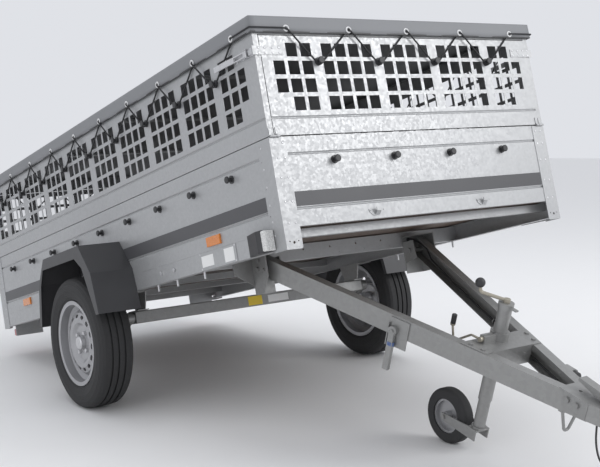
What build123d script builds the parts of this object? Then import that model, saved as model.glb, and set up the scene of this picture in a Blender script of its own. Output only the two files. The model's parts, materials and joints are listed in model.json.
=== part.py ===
from build123d import *
import os
from math import atan, atan2, cos, degrees, hypot, pi, radians, sin, tan

# Light single-axle box trailer with perforated upper panels, a flat tarpaulin, and a
# drawbar that is hinged under the box so that the box can be tipped. Millimetres.
#
# Three frames are used:
#   box frame      x to the right seen from the coupling, y rearward from the face of the
#                  front wall, z up from the feet of the corner posts
#   drawbar frame  origin on the tilt pivot, y rearward, z up, in line with the beams
#   row frame      the trailer standing on its wheels: ground at z = 0

# ---- driving dimensions --------------------------------------------------------------
BOX_LENGTH = 2730.0
BOX_WIDTH = 1290.0
WALL_BOTTOM = 73.0
WALL_TOP = 371.0
PANEL_BOTTOM = 374.0
PANEL_TOP = 765.0
GATE_TOP = 712.0
SHEET = 1.5
POST_SHEET = 2.0
POST_FRONT_FLANGE = 64.0
POST_REAR_FLANGE = 42.0
POST_SIDE_FLANGE = 76.0

BOX_PITCH = 13.1          # nose of the box above level, degrees
DRAWBAR_FOLD = 30.5       # drawbar below the line of the box, degrees

TYRE_RADIUS = 273.5
TYRE_WIDTH = 155.0
RIM_RADIUS = 178.5
WHEEL_X = 745.0
WHEEL_Y = 1420.0
WHEEL_Z = -160.0

RAIL_BOTTOM = 8.0
RAIL_FLANGE = 40.0
RAIL_SHEET = 2.5
CROSS_Y = 590.0

AXLE_Y = 1280.0
AXLE_Z = -95.0
AXLE_SIDE = 50.0
AXLE_HALF = 600.0

PIVOT_Y = 548.0
PIVOT_Z = -11.0
PIVOT_BOLT_R = 6.0
BEAM_HEIGHT = 71.3
BEAM_FLANGE = 38.9
BEAM_SHEET = 3.0
BEAM_MID = 12.0           # beam mid-line above the pivot
BEAM_REAR = 22.0          # beam end behind the pivot
BEAM_FRONT = 1278.0       # beam end ahead of the pivot
BEAM_PIVOT_X = 403.0      # outer face of the web at the pivot
BEAM_TOE_IN = 0.2938      # sideways run of the web per unit of length
BRACKET_SHEET = 4.0

JOCKEY_U = 846.0          # jockey tube ahead of the pivot
JOCKEY_TUBE_R = 24.0
JOCKEY_INNER_R = 21.0
JOCKEY_TRAIL = 140.0
JOCKEY_WHEEL_R = 100.0
JOCKEY_WHEEL_W = 50.0
JOCKEY_STROKE = 100.0

BALL_U = 1440.0
BALL_T = 16.0
BALL_BORE_R = 25.25

TARP_TOP = 777.0
TARP_SKIRT = 720.0
TARP_SHEET = 3.0
TARP_OUT = 10.0           # skirt's outer face outside the box
CORD_R = 3.0
LEAD_R = 3.5

RUN = 0.05                # radial clearance of a running fit
SEAT = 0.3                # gap of parts that lie against each other

# ---- lattice of windows in the upper panels --------------------------------------------
WINDOW_W = 44.7
WINDOW_H = 47.4
COLUMN_PITCH = 58.2
ROW_PITCH = 61.5
ROW_COUNT = 4
COLUMN_COUNT = 4
WINDOW_BOTTOM = 456.5
SIDE_GROUPS = 10
SIDE_PITCH = 274.5
FRONT_GROUPS = 5
FRONT_PITCH = 263.1
HOOK_Z = 624.0
KNOB_Z = 286.0

GROOVE_DEPTH = 4.0
GROOVE_HALF = 5.0
LOWER_GROOVES = (131.0, 313.0)
UPPER_GROOVE = 434.0

HALF = BOX_WIDTH / 2
FLANK = HALF - POST_SHEET          # outer face of the side walls
FRONT_FACE = POST_SHEET            # outer face of the front wall
REAR_FACE = BOX_LENGTH - POST_SHEET
GATE_HALF = HALF - 25.0


# ---- placing -----------------------------------------------------------------------------
def pitched(y, z, angle):
    """The point (y, z) turned about the X axis by an angle in degrees."""
    a = radians(angle)
    return y * cos(a) - z * sin(a), y * sin(a) + z * cos(a)


def wheel_height_shift():
    return TYRE_RADIUS - pitched(WHEEL_Y, WHEEL_Z, -BOX_PITCH)[1]


BOX_AT = Location((0, 0, wheel_height_shift()), (-BOX_PITCH, 0, 0))
DRAWBAR_AT = BOX_AT * Location((0, PIVOT_Y, PIVOT_Z), (DRAWBAR_FOLD, 0, 0))
DRAWBAR_PITCH = DRAWBAR_FOLD - BOX_PITCH


def box_point(x, y, z):
    py, pz = pitched(y, z, -BOX_PITCH)
    return x, py, pz + wheel_height_shift()


def drawbar_point(x, y, z):
    py, pz = pitched(y, z, DRAWBAR_FOLD)
    return box_point(x, PIVOT_Y + py, PIVOT_Z + pz)


# ---- building blocks ---------------------------------------------------------------------
def block(x0, x1, y0, y1, z0, z1):
    size = (abs(x1 - x0), abs(y1 - y0), abs(z1 - z0))
    return Pos((x0 + x1) / 2, (y0 + y1) / 2, (z0 + z1) / 2) * Box(*size)


def rod_x(radius, x0, x1, y=0.0, z=0.0):
    return Pos((x0 + x1) / 2, y, z) * Rot(0, 90, 0) * Cylinder(radius, abs(x1 - x0))


def rod_y(radius, y0, y1, x=0.0, z=0.0):
    return Pos(x, (y0 + y1) / 2, z) * Rot(90, 0, 0) * Cylinder(radius, abs(y1 - y0))


def rod_z(radius, z0, z1, x=0.0, y=0.0):
    return Pos(x, y, (z0 + z1) / 2) * Cylinder(radius, abs(z1 - z0))


def plate_yz(points, x0, x1):
    """A plate normal to X with an outline of (y, z) points."""
    face = make_face(Polyline([(0, y, z) for y, z in points], close=True).edges())
    return Pos(min(x0, x1), 0, 0) * extrude(face, amount=abs(x1 - x0), dir=(1, 0, 0))


def plate_xz(points, y0, y1):
    """A plate normal to Y with an outline of (x, z) points."""
    face = make_face(Polyline([(x, 0, z) for x, z in points], close=True).edges())
    return Pos(0, min(y0, y1), 0) * extrude(face, amount=abs(y1 - y0), dir=(0, 1, 0))


def plate_xy(points, z0, z1):
    """A plate normal to Z with an outline of (x, y) points."""
    face = make_face(Polyline([(x, y, 0) for x, y in points], close=True).edges())
    return Pos(0, 0, min(z0, z1)) * extrude(face, amount=abs(z1 - z0), dir=(0, 0, 1))


def mirrored(shape):
    return mirror(shape, about=Plane.YZ)


def at_rear(shape):
    """The shape mirrored from the front of the box to its rear."""
    return mirror(shape, about=Plane.XZ.offset(-BOX_LENGTH / 2))


def spun_x(profile, x_sign=1.0):
    """A ring turned about the X axis from (x, radius) points."""
    face = make_face(Polyline([(x_sign * x, 0, r) for x, r in profile], close=True).edges())
    return revolve(face, axis=Axis.X)


def tube_along(points, radius, cap=1000.0):
    """A round tube on straight runs joined by tangent arcs. Prints its tightest bend."""
    runs = [Vector(*b) - Vector(*a) for a, b in zip(points, points[1:])]
    radii = []
    for a, b in zip(runs, runs[1:]):
        half_turn = radians(a.get_angle(b)) / 2
        radii.append(min(cap, 0.45 * min(a.length, b.length) / tan(half_turn)))
    path = FilletPolyline(*points, radius=radii)
    print("  tightest bend", round(min(radii), 1), "length", round(path.length, 1))
    start = Plane(origin=path @ 0, z_dir=path % 0)
    return sweep(start * Circle(radius), path=path)


# ---- box: walls, panels, posts -----------------------------------------------------------
def wall_profile(bottom, top, grooves, lip_bottom, lip_top):
    """A (depth, z) outline of folded sheet with pressed grooves and returned edges."""
    outer = [(0.0, bottom)]
    for groove in grooves:
        outer += [(0.0, groove - GROOVE_HALF), (GROOVE_DEPTH, groove - SHEET / 2)]
        outer += [(GROOVE_DEPTH, groove + SHEET / 2), (0.0, groove + GROOVE_HALF)]
    outer.append((0.0, top))
    inner = [(d + SHEET, z) for d, z in outer]
    inner[0] = (SHEET, bottom + (SHEET if lip_bottom else 0.0))
    inner[-1] = (SHEET, top - (SHEET if lip_top else 0.0))
    points = list(outer)
    if lip_top:
        points += [(lip_top, top), (lip_top, top - SHEET)]
    points += reversed(inner)
    if lip_bottom:
        points += [(lip_bottom, bottom + SHEET), (lip_bottom, bottom)]
    return points


def side_panel(profile, y0, y1):
    """The left-hand side panel of a wall profile, its outer face on the flank."""
    return plate_xz([(-FLANK + d, z) for d, z in profile], y0, y1)


def cross_panel(profile, half, face_y, inward):
    """A panel across the box; inward is +1 for the front and -1 for the rear."""
    return plate_yz([(face_y + inward * d, z) for d, z in profile], -half, half)


def window_cells(groups, pitch, length):
    """Centres (along, z) of the windows; the end groups lose their outer corner cells."""
    cells = []
    for group in range(groups):
        middle = length / 2 + (group - (groups - 1) / 2) * pitch
        for column in range(COLUMN_COUNT):
            outer = column if group == 0 else COLUMN_COUNT - 1 - column
            at_end = group in (0, groups - 1)
            if at_end and outer == 0:
                continue
            for row in range(ROW_COUNT):
                if at_end and outer == 1 and row in (0, ROW_COUNT - 1):
                    continue
                along = middle + (column - (COLUMN_COUNT - 1) / 2) * COLUMN_PITCH
                cells.append((along, WINDOW_BOTTOM + WINDOW_H / 2 + row * ROW_PITCH))
    return cells


def bar_places(groups, pitch, length):
    """Middles of the wide bars between the groups of windows."""
    return [length / 2 + (i + 1 - groups / 2) * pitch for i in range(groups - 1)]


SIDE_BARS = bar_places(SIDE_GROUPS, SIDE_PITCH, BOX_LENGTH)
FRONT_BARS = bar_places(FRONT_GROUPS, FRONT_PITCH, 0.0)


def cut_windows_side(panel):
    depth = 4 * GROOVE_DEPTH
    sketch = [Pos(-FLANK, y, z) * Box(depth, WINDOW_W, WINDOW_H)
              for y, z in window_cells(SIDE_GROUPS, SIDE_PITCH, BOX_LENGTH)]
    return panel - sketch


def cut_windows_cross(panel, face_y):
    depth = 4 * GROOVE_DEPTH
    sketch = [Pos(x, face_y, z) * Box(WINDOW_W, depth, WINDOW_H)
              for x, z in window_cells(FRONT_GROUPS, FRONT_PITCH, 0.0)]
    return panel - sketch


def bobbin(foot_r=14.0, stem_r=7.0, head_r=12.5, height=24.0):
    """A double-flanged hook knob standing on z = 0."""
    foot = rod_z(foot_r, 0, 4)
    stem = rod_z(stem_r, 4, height - 6)
    head = rod_z(head_r, height - 6, height)
    return foot + stem + fillet(head.edges().group_by(Axis.Z)[-1], 3)


def bobbin_on_flank(y, z):
    return Pos(-FLANK, y, z) * Rot(0, -90, 0) * bobbin()


def bobbin_on_front(x, z, face_y):
    return Pos(x, face_y, z) * Rot(90, 0, 0) * bobbin()


def bobbin_on_rear(x, z, face_y):
    return Pos(x, face_y, z) * Rot(-90, 0, 0) * bobbin()


LOWER_PROFILE = wall_profile(WALL_BOTTOM, WALL_TOP, LOWER_GROOVES, 20.0, 30.0)
UPPER_PROFILE = wall_profile(PANEL_BOTTOM, PANEL_TOP, (UPPER_GROOVE,), 20.0, 15.0)
GATE_PROFILE = wall_profile(PANEL_BOTTOM + 1, GATE_TOP, (UPPER_GROOVE,), 15.0, 15.0)


def side_wall():
    wall = side_panel(LOWER_PROFILE, POST_SHEET + 0.5, BOX_LENGTH - POST_SHEET - 0.5)
    return wall


def front_wall():
    half = FLANK - 32.0
    wall = cross_panel(LOWER_PROFILE, half, FRONT_FACE, 1)
    edge = block(half - 10, half, FRONT_FACE, FRONT_FACE + SHEET, WALL_BOTTOM, WALL_TOP)
    pieces = [wall + edge + mirrored(edge)]
    for x in (-253.0, 253.0):
        pieces.append(catch_hook(x))
    return pieces


def catch_hook(x):
    """A pressed catch: a base with two ears and a finger standing out of it."""
    z = 96.0
    base = plate_xz([(x - 34, z + 10), (x - 30, z - 2), (x - 14, z - 13), (x + 14, z - 13),
                     (x + 30, z - 2), (x + 34, z + 10), (x + 18, z + 6), (x - 18, z + 6)],
                    FRONT_FACE - SEAT, FRONT_FACE - SEAT - 2)
    finger = plate_yz([(FRONT_FACE - SEAT - 1, z - 13), (FRONT_FACE - 16, z + 2),
                       (FRONT_FACE - 16, z + 14), (FRONT_FACE - 13, z + 14),
                       (FRONT_FACE - 13, z + 4), (FRONT_FACE - SEAT - 1, z - 8)],
                      x - 9, x + 9)
    holes = [rod_y(2.2, FRONT_FACE - 6, FRONT_FACE, x + s * 29, z + 5) for s in (-1, 1)]
    return base + finger - holes


def corner_post(front):
    """The left-hand corner post: an angle with rivet holes and a rounded foot."""
    width = POST_FRONT_FLANGE if front else POST_REAR_FLANGE
    top = WALL_TOP - 1
    face = block(-HALF, -HALF + width, 0, POST_SHEET, 0, top)
    face = fillet(face.edges().filter_by(Axis.Y).group_by(Axis.Z)[0].sort_by(Axis.X)[-1:], 8)
    side = block(-HALF, -HALF + POST_SHEET, 0, POST_SIDE_FLANGE, 0, top)
    post = face + side
    foot = [(0.5, 22.0, 4.5), (0.24, 26.0, 2.5), (0.78, 26.0, 2.5)]
    for share, z, radius in foot:
        post -= rod_y(radius, -1, POST_SHEET + 1, -HALF + width * share, z)
    for z in (33.0, 120.0, 210.0, 300.0, 350.0):
        post -= rod_x(2.0, -HALF - 1, -HALF + POST_SHEET + 1, POST_SIDE_FLANGE - 12, z)
    return post if front else at_rear(post)


def side_rail():
    x0, x1 = -FLANK, -FLANK + RAIL_FLANGE
    y0, y1 = 15.0, BOX_LENGTH - 30.0
    top = WALL_BOTTOM - SEAT
    web = block(x0, x0 + RAIL_SHEET, y0, y1, RAIL_BOTTOM, top)
    low = block(x0, x1, y0, y1, RAIL_BOTTOM, RAIL_BOTTOM + RAIL_SHEET)
    high = block(x0, x1, y0, y1, top - RAIL_SHEET, top)
    rail = web + low + high
    for y in (775.0, 885.0):
        rail -= rod_x(4.2, x0 - 1, x0 + RAIL_SHEET + 1, y, 44)
    return rail


RAIL_INSIDE = FLANK - RAIL_SHEET - SEAT


def channel_across(y0, z0, z1, depth, sheet, half=RAIL_INSIDE):
    """A channel across the frame, its web at y0 and its flanges running rearward."""
    web = block(-half, half, y0, y0 + sheet, z0, z1)
    low = block(-half, half, y0, y0 + depth, z0, z0 + sheet)
    high = block(-half, half, y0, y0 + depth, z1 - sheet, z1)
    return web + low + high


FRAME_TOP = WALL_BOTTOM - SEAT - RAIL_SHEET - SEAT
CROSS_BOTTOM = RAIL_BOTTOM + RAIL_SHEET + SEAT
GROMMET_X = 363.0
GROMMET_Z = 37.0
GROMMET_R = 9.0


def cross_members():
    main = channel_across(CROSS_Y, CROSS_BOTTOM, FRAME_TOP, RAIL_FLANGE, RAIL_SHEET)
    main -= rod_y(GROMMET_R, CROSS_Y - 1, CROSS_Y + RAIL_SHEET + 1, GROMMET_X, GROMMET_Z)
    for x in (-300.0, -170.0, -40.0, 90.0, 220.0):
        main -= rod_y(4.0, CROSS_Y - 1, CROSS_Y + RAIL_SHEET + 1, x, 48)
        main -= rod_y(3.0, CROSS_Y - 1, CROSS_Y + RAIL_SHEET + 1, x + 40, 22)
    shallow = [channel_across(y, FRAME_TOP - 28, FRAME_TOP, 30.0, 2.0)
               for y in (60.0, 1010.0, 1560.0, 2110.0, 2640.0)]
    return [main] + shallow


def floor_panel():
    inner = FLANK - GROOVE_DEPTH - SHEET - 2
    return block(-inner, inner, 10, BOX_LENGTH - 34, WALL_BOTTOM + SHEET + SEAT,
                 WALL_BOTTOM + SHEET + SEAT + 9)


STRAP_Z = 661.0
STRAP_H = 30.0


def side_mesh():
    """The left-hand perforated panel, with its flanges at both gates."""
    panel = cut_windows_side(side_panel(UPPER_PROFILE, 2, BOX_LENGTH - 2))
    width = HALF - GATE_HALF - 1.5
    flange = block(-FLANK, -FLANK + width - POST_SHEET, 2, 2 + SHEET, PANEL_BOTTOM, PANEL_TOP)
    return panel + flange + at_rear(flange)


def tarp_bows():
    """Flat bars across the top that carry the sheet, and an angle over each gate."""
    reach = FLANK - 3
    under_sheet = TARP_TOP - TARP_SHEET - SEAT
    bars = [block(-reach, reach, y - 15, y + 15, PANEL_TOP + SEAT, under_sheet)
            for y in (680, 1365, 2050)]
    narrow = FLANK - 15.5
    header = block(-narrow, narrow, 3.8, 5.8, GATE_TOP + 4, under_sheet)
    header += block(-FLANK + SHEET + SEAT, FLANK - SHEET - SEAT, 3.8, 5.8, GATE_TOP + 4,
                    PANEL_TOP - SHEET - SEAT)
    header += block(-narrow, narrow, 3.8, 24, under_sheet - 2, under_sheet)
    return bars + [header, at_rear(header)]


def mesh_gate(front):
    """A perforated gate with its two riveted straps that the corner latches pull on."""
    face_y = 0.0
    gate = cut_windows_cross(cross_panel(GATE_PROFILE, GATE_HALF, face_y, 1), face_y)
    strap = block(-HALF - 8, -HALF + 108, -2.3, -SEAT, STRAP_Z - STRAP_H / 2,
                  STRAP_Z + STRAP_H / 2)
    lug = block(-HALF - 8, -HALF - 6, -2.3, 5.0, STRAP_Z - 12, STRAP_Z + 12)
    strap = strap + lug
    leaf = gate_hinge()[0]
    pieces = [gate, strap, mirrored(strap), leaf, mirrored(leaf)]
    if front:
        return pieces
    return [at_rear(p) for p in pieces]


GATE_HINGE_Y = -5.0
GATE_HINGE_Z = 372.5


def gate_hinge():
    """The left-hand hinge of the front gate: its leaf and the bracket with the pin."""
    y, z = GATE_HINGE_Y, GATE_HINGE_Z
    leaf = block(-616, -604, -2.3, -SEAT, z + 5, z + 30)
    leaf += block(-616, -604, y, -SEAT, z + 2, z + 7) + rod_x(4, -616, -604, y, z)
    leaf -= rod_x(2 + RUN, -617, -603, y, z)
    bracket = rod_x(4, -641, -618, y, z) + rod_x(2, -641, -604, y, z)
    bracket += block(-641, -623, y, 2 - SEAT, z, z + 4)
    bracket += block(-641, -623, -SEAT, 2 - SEAT, z, z + 28)
    return leaf, bracket


LATCH_PIVOT_Y = 42.0


def gate_latch_base():
    """The plate, ears and draw hook of one corner latch, on the left at the front."""
    x = -FLANK - SEAT
    base = block(x - 1.5, x, 8, 130, STRAP_Z - 14, STRAP_Z + 14)
    base += block(x - 5, x - 1, 8, 34, STRAP_Z - 9, STRAP_Z + 9)
    for z in (STRAP_Z - 14, STRAP_Z + 12):
        base += block(x - 14, x, LATCH_PIVOT_Y - 8, LATCH_PIVOT_Y + 8, z, z + 2)
    return base - latch_pin(2.5 + RUN, 15)


def latch_pin(radius, half):
    return rod_z(radius, STRAP_Z - half, STRAP_Z + half, -FLANK - SEAT - 9, LATCH_PIVOT_Y)


def gate_latch_lever(reach):
    """The over-centre lever, pivoted in the ears of the base."""
    x = -FLANK - SEAT - 9
    arm = plate_xy([(x - 3, LATCH_PIVOT_Y), (x + 3, LATCH_PIVOT_Y), (x + 2, 100),
                    (x - 6, 160), (x - 8, reach), (x - 12, reach), (x - 11, 158),
                    (x - 4, 98)], STRAP_Z - 10, STRAP_Z + 10)
    slot = plate_xy([(x - 20, LATCH_PIVOT_Y + 14), (x + 8, LATCH_PIVOT_Y + 14), (x + 8, 112),
                     (x - 20, 112)], STRAP_Z - 6, STRAP_Z + 6)
    boss = rod_z(3, STRAP_Z - 10, STRAP_Z + 10, x, LATCH_PIVOT_Y)
    return arm - slot + boss + latch_pin(2.5, 13.8)


TAIL_HINGE_Y = BOX_LENGTH + 7.0
TAIL_HINGE_Z = WALL_BOTTOM - 4.0


def tailgate():
    """The drop-down rear wall, hung on a rod across its foot."""
    half = HALF - POST_REAR_FLANGE - 1.5
    panel = cross_panel(LOWER_PROFILE, half, BOX_LENGTH, -1)
    knuckles = []
    for x in (-430.0, 0.0, 430.0):
        leaf = block(x - 30, x + 30, BOX_LENGTH + SEAT, BOX_LENGTH + 3, TAIL_HINGE_Z, 110)
        knuckle = rod_x(6.0, x - 30, x + 30, TAIL_HINGE_Y, TAIL_HINGE_Z)
        neck = block(x - 30, x + 30, BOX_LENGTH + SEAT, TAIL_HINGE_Y,
                     TAIL_HINGE_Z - 1.5, TAIL_HINGE_Z + 1.5)
        piece = leaf + knuckle + neck
        piece -= rod_x(3.0 + RUN, x - 31, x + 31, TAIL_HINGE_Y, TAIL_HINGE_Z)
        knuckles.append(piece)
    return [panel] + knuckles


def tail_hinge_fixed():
    """Hinge rods and their frame knuckles on the rearmost bearer."""
    pieces = []
    for x in (-430.0, 0.0, 430.0):
        rod = rod_x(3.0, x - 46, x + 46, TAIL_HINGE_Y, TAIL_HINGE_Z)
        for s in (-1, 1):
            inner, outer = x + s * 31, x + s * 46
            rod += rod_x(6.0, inner, outer, TAIL_HINGE_Y, TAIL_HINGE_Z)
            rod += block(inner, outer, 2640.5 + 32, TAIL_HINGE_Y, TAIL_HINGE_Z - 6,
                         TAIL_HINGE_Z - 3)
        pieces.append(rod)
    return pieces


# ---- running gear ------------------------------------------------------------------------
def axle_beam():
    h = AXLE_SIDE / 2
    outer = block(-AXLE_HALF, AXLE_HALF, AXLE_Y - h, AXLE_Y + h, AXLE_Z - h, AXLE_Z + h)
    outer = fillet(outer.edges().filter_by(Axis.X), 5)
    bore = rod_x(20.0, -AXLE_HALF - 1, AXLE_HALF + 1, AXLE_Y, AXLE_Z)
    pieces = [outer - bore]
    under_rail = RAIL_BOTTOM - SEAT
    on_beam = AXLE_Z + h + SEAT
    for side in (-1, 1):
        web = plate_yz([(AXLE_Y - 75, under_rail), (AXLE_Y + 75, under_rail),
                        (AXLE_Y + 45, on_beam), (AXLE_Y - 45, on_beam)],
                       side * 560, side * 564)
        top = block(side * 560, side * (FLANK - 4), AXLE_Y - 75, AXLE_Y + 75,
                    under_rail - 4, under_rail)
        foot = block(side * 545, side * (AXLE_HALF - 2), AXLE_Y - 45, AXLE_Y + 45,
                     on_beam, on_beam + 4)
        pieces.append(web + top + foot)
    return pieces


def swing_arm():
    """The left-hand trailing arm, its rubber-sprung inner bar and its stub axle."""
    x_in, x_out = -AXLE_HALF - 5, -AXLE_HALF - 33
    bar = rod_x(19.5, x_in, -AXLE_HALF + 240, AXLE_Y, AXLE_Z)
    dy, dz = WHEEL_Y - AXLE_Y, WHEEL_Z - AXLE_Z
    reach = hypot(dy, dz)
    lean = degrees(atan2(dz, dy))
    arm = Pos(0, AXLE_Y, AXLE_Z) * Rot(lean, 0, 0) * block(x_out, x_in, 0, reach, -16, 16)
    ends = rod_x(24, x_out, x_in, AXLE_Y, AXLE_Z) + rod_x(26, x_out, x_in, WHEEL_Y, WHEEL_Z)
    stub = rod_x(14, -WHEEL_X - 10, x_in, WHEEL_Y, WHEEL_Z)
    return bar + arm + ends + stub


HUB_FACE = WHEEL_X + 30.0


def wheel_hub():
    """The left-hand hub with its grease cap and four wheel bolts."""
    at = Pos(0, WHEEL_Y, WHEEL_Z)
    body = spun_x([(-WHEEL_X + 45, 14 + RUN), (-WHEEL_X + 45, 30), (-HUB_FACE + 14, 34),
                   (-HUB_FACE + 12, 66), (-HUB_FACE, 66), (-HUB_FACE, 29),
                   (-HUB_FACE - 22, 28), (-HUB_FACE - 26, 24), (-HUB_FACE - 26, 0),
                   (-WHEEL_X - 11, 0), (-WHEEL_X - 11, 14 + RUN)])
    pieces = [at * body]
    for i in range(4):
        y, z = 50 * cos(pi / 4 + i * pi / 2), 50 * sin(pi / 4 + i * pi / 2)
        head = Rot(0, 90, 0) * extrude(RegularPolygon(9.5, 6), amount=9)
        pieces.append(at * Pos(-HUB_FACE - 13.6, y, z) * head)
    return pieces


def wheel_rim():
    """The left-hand pressed-steel rim: bead seats, well, and a dished disc with vents."""
    r = RIM_RADIUS
    outer = [(-67, r), (-62, r), (-61.8, r - 13), (-32, r - 14.5), (-22, r - 32.5),
             (18, r - 32.5), (30, r - 14.5), (61.8, r - 13), (62, r), (67, r)]
    inner = [(67, r - 3.5), (65.5, r - 16.5), (32, r - 18.2), (20, r - 36.2),
             (-24, r - 36.2), (-34, r - 18.2), (-65.5, r - 16.5), (-67, r - 3.5)]
    ring = spun_x([(WHEEL_X + x, rad) for x, rad in outer + inner], -1)
    disc = spun_x([(WHEEL_X + x, rad) for x, rad in
                   [(34.3, 31), (34.3, 71), (45, 85), (47, 104), (40, 126),
                    (17, r - 34), (11, r - 34), (34, 124.5), (42.5, 103), (41, 87),
                    (30.3, 74), (30.3, 31)]], -1)
    for i in range(VENT_COUNT):
        oval = Rot(0, 90, 0) * extrude(SlotCenterToCenter(11, 14, rotation=90), amount=60)
        vent = Pos(-WHEEL_X - 60, 0, 0) * Pos(0, 0, 112) * oval
        disc -= Rot(360 / VENT_COUNT * i, 0, 0) * vent
    for i in range(4):
        y, z = 50 * cos(pi / 4 + i * pi / 2), 50 * sin(pi / 4 + i * pi / 2)
        disc -= rod_x(6.5, -WHEEL_X - 60, -WHEEL_X, y, z)
    return Pos(0, WHEEL_Y, WHEEL_Z) * (ring + disc)


VENT_COUNT = 14


def wheel_tyre():
    """The left-hand tyre, hollow, with three grooves round the tread."""
    bead = RIM_RADIUS - 12.6
    half = TYRE_WIDTH / 2
    crown = TYRE_RADIUS
    right = [(61.5, bead), (61.5, bead + 14), (half - 7, bead + 25), (half, bead + 56),
             (half - 3, crown - 26), (half - 12, crown - 9), (half - 22, crown - 2.5)]
    for groove in (28, 0, -28):
        right += [(groove + 4, crown), (groove + 4, crown - 7),
                  (groove - 4, crown - 7), (groove - 4, crown)]
    left = [(-x, rad) for x, rad in right[6::-1]]
    cavity = [(54, bead), (54, bead + 16), (66, bead + 40), (67, bead + 60), (58, crown - 20),
              (44, crown - 13)]
    inside = [(-x, rad) for x, rad in cavity] + cavity[::-1]
    ring = spun_x([(WHEEL_X + x, rad) for x, rad in right + left + inside], -1)
    return Pos(0, WHEEL_Y, WHEEL_Z) * ring


GUARD_OUT = 830.0
GUARD_OUTLINE = [(1105, -67), (1130, 100), (1215, 224), (1600, 224), (1690, 120), (1745, -60)]
GUARD_OPENING = [(1722, -60), (1668, 112), (1622, 179), (1268, 177), (1207, 130), (1133, -67)]


def mudguard():
    """The left-hand guard: an angular band, an outer cheek and an inner flange."""
    shell = [(y, z) for y, z in GUARD_OUTLINE]
    inset = [(1742, -60), (1687.4, 118.6), (1598.6, 221), (1216.6, 221), (1132.9, 99),
             (1108, -67)]
    flange = [(1725, -60), (1671, 110), (1591, 204), (1226, 204), (1149, 92), (1125, -67)]
    x_in = FLANK + SEAT
    band = plate_yz(shell + inset, -GUARD_OUT, -x_in)
    cheek = plate_yz(shell + GUARD_OPENING, -GUARD_OUT, -GUARD_OUT + 3)
    root = plate_yz(shell + flange, -x_in - 3, -x_in)
    ribs = [block(-GUARD_OUT + 8, -x_in - 10, y - 3, y + 3, 223.5, 227) for y in
            (1260, 1340, 1420, 1500, 1570)]
    return band + cheek + root + ribs


def lamp_front():
    """A front position lamp: a wedge-shaped holder on the rail and a round-edged lens."""
    x = HALF + SEAT
    holder = plate_xy([(-x, 76), (-688, 76), (-690, 104), (-656, 210), (-x, 210)], 7, 80)
    lens = block(-688, -x - 1, 58, 76 - SEAT, 9, 78)
    lens = fillet(lens.edges().filter_by(Axis.Y) + lens.faces().sort_by(Axis.Y)[0].edges(), 6)
    return holder, lens


def reflector(y):
    plate = block(-FLANK - 8, -FLANK - SEAT, y - 48, y + 48, 86, 121)
    return fillet(plate.faces().sort_by(Axis.X)[0].edges(), 3)


def lamp_rear():
    """A rear lamp cluster on its bracket below the tail."""
    y = BOX_LENGTH - 30
    board = block(-598, -452, y, y + 3, -44, 56)
    lamp = block(-595, -455, y + 3 + SEAT, y + 34, -42, -4)
    return board, fillet(lamp.edges().filter_by(Axis.Y), 8)


def hex_head(x, y, z, radius=8.0, height=6.0):
    """A hexagon head standing on the left side of the plane at x."""
    return Pos(x - height, y, z) * Rot(0, 90, 0) * extrude(RegularPolygon(radius, 6),
                                                           amount=height)


def frame_bolts():
    bolts = []
    for y in (775.0, 885.0):
        bolts.append(hex_head(-FLANK - SEAT, y, 44))
    for y in (597.0, 813.0, 976.0):
        bolts.append(rod_z(4.5, RAIL_BOTTOM - 26, RAIL_BOTTOM - SEAT, -618, y))
    return bolts + [mirrored(b) for b in bolts]


def overlay_plate():
    """A riveted plate over the rail that carries the type labels."""
    return block(-FLANK - 2, -FLANK - SEAT, 310, 570, RAIL_BOTTOM + 1, 72)


# ---- tarpaulin and elastic cord -------------------------------------------------------------
EYELET_Z = 735.0
CORD_OUT = HALF + TARP_OUT + 4.5
CORD_IN = HALF + 2.5
CORD_HOOK = HALF + 9.0
SIDE_EYELETS = [bar + 120.0 for bar in SIDE_BARS]
FRONT_EYELETS = [bar - 116.0 for bar in FRONT_BARS]
LEAD_OUT = 60.0


def tarp():
    out = TARP_OUT + HALF
    sheet = block(-out, out, -TARP_OUT, BOX_LENGTH + TARP_OUT, TARP_SKIRT, TARP_TOP)
    inner = out - TARP_SHEET
    sheet -= block(-inner, inner, -TARP_OUT + TARP_SHEET, BOX_LENGTH + TARP_OUT - TARP_SHEET,
                   TARP_SKIRT - 1, TARP_TOP - TARP_SHEET)
    places = SIDE_EYELETS + [SIDE_EYELETS[0] - SIDE_PITCH]
    for y in places:
        sheet -= rod_x(CORD_R + 1, -out - 5, out + 5, y, EYELET_Z)
    for x in FRONT_EYELETS + [FRONT_EYELETS[-1] + FRONT_PITCH]:
        sheet -= rod_y(CORD_R + 1, -TARP_OUT - 5, 10, x, EYELET_Z)
        sheet -= rod_y(CORD_R + 1, BOX_LENGTH - 10, BOX_LENGTH + TARP_OUT + 5, x, EYELET_Z)
    return sheet


def elastic_side():
    """The left-hand cord from the rearmost eyelet to the one by the front corner."""
    points = [(-CORD_OUT, SIDE_EYELETS[-1] + 60, EYELET_Z),
              (-CORD_OUT, SIDE_EYELETS[-1], EYELET_Z)]
    for bar in reversed(SIDE_BARS):
        points.append((-CORD_HOOK, bar + 1, HOOK_Z - 16.5))
        points.append((-CORD_IN, bar + 120 - SIDE_PITCH, EYELET_Z))
        points.append((-CORD_OUT, bar + 120 - SIDE_PITCH, EYELET_Z))
    points.append((-CORD_OUT, SIDE_EYELETS[0] - SIDE_PITCH - 50, EYELET_Z))
    return tube_along(points, CORD_R, HOOK_BEND)


HOOK_BEND = 14.0
CORNER_BEND = 6.0


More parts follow.
